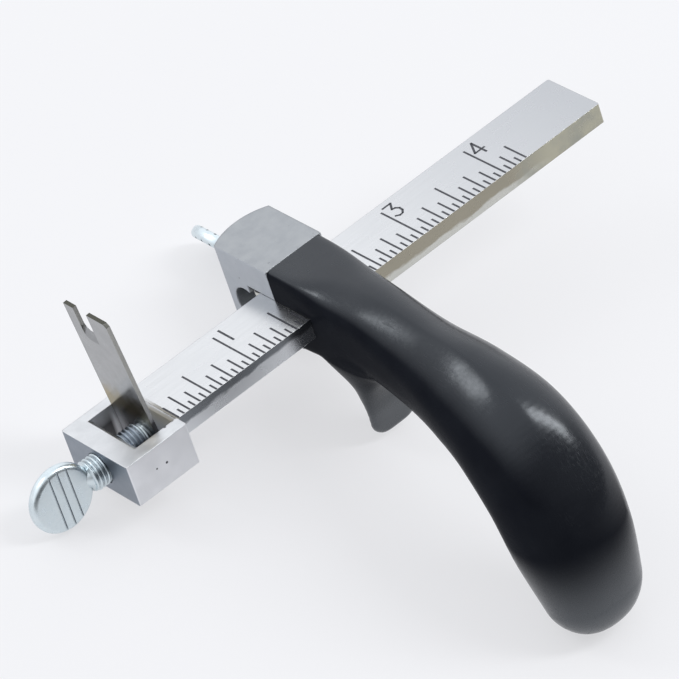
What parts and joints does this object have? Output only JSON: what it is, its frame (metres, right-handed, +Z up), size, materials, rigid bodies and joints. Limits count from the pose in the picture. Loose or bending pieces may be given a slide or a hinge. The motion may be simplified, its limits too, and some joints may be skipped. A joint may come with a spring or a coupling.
{
  "type": "strap cutter",
  "caption": "Draw gauge for cutting leather straps: pistol grip, graduated bar sliding through its head, forked blade in a screw-clamped holder.",
  "frame": {"origin": "middle of the tool's footprint on the bench, at bench height, with the tool lying as it comes to rest on the butt of the grip, the bar lock screw and the blade holder", "axes": "+X along the bar's horizontal direction, towards its free end; +Y from the butt of the grip towards the nose of the head; +Z up from the bench"},
  "size_m": [0.164, 0.1386, 0.0526],
  "materials": {
    "bare_head": "satin, bead blasted",
    "black_grip": "semi-gloss, moulded",
    "graduated_bar": "ground and plated, with dark engraved lines",
    "blade_holder": "machined and plated",
    "blade_steel": "polished, with a straw temper colour near the holder",
    "zinc_screw": "bright zinc plated",
    "shoe": "bare"
  },
  "bodies": {
    "handle": {"head_frame": "bare_head", "grip": "black_grip"},
    "bar_carriage": {"graduated_bar": "graduated_bar", "blade_holder": "blade_holder"},
    "cutter": {"blade": "blade_steel"},
    "clamp_screw": {"blade_screw": "zinc_screw"},
    "lock_shoe": {"bar_lock_shoe": "shoe"},
    "lock_screw": {"bar_lock_screw": "zinc_screw"}
  },
  "joints": [
    {"name": "bar_slide", "type": "slide", "parent": "handle", "child": "bar_carriage", "axis": [0.99, 0, 0.1411], "range_m": [-0.066, 0.038]},
    {"name": "blade_slide", "type": "slide", "parent": "bar_carriage", "child": "cutter", "axis": [-0.1973, 0.4364, 0.8778], "range_m": [-0.002, 0.012]},
    {"name": "blade_screw_turn", "type": "hinge", "parent": "bar_carriage", "child": "clamp_screw", "pos_m": [-0.0675, 0.02967, 0.00923], "axis": [-0.99, 0, -0.1411], "range_deg": [0, 360]},
    {"name": "lock_shoe_slide", "type": "slide", "parent": "handle", "child": "lock_shoe", "axis": [0.0617, 0.8992, -0.4332], "range_m": [0, 0.001]},
    {"name": "lock_screw_turn", "type": "hinge", "parent": "lock_shoe", "child": "lock_screw", "pos_m": [0.00335, 0.05612, 0.00959], "axis": [0.0617, 0.8992, -0.4332], "range_deg": [0, 340]}
  ],
  "couplings": [
    {"joint": "lock_shoe_slide", "follows": "lock_screw_turn", "m_per_rad": 0.00016844}
  ]
}
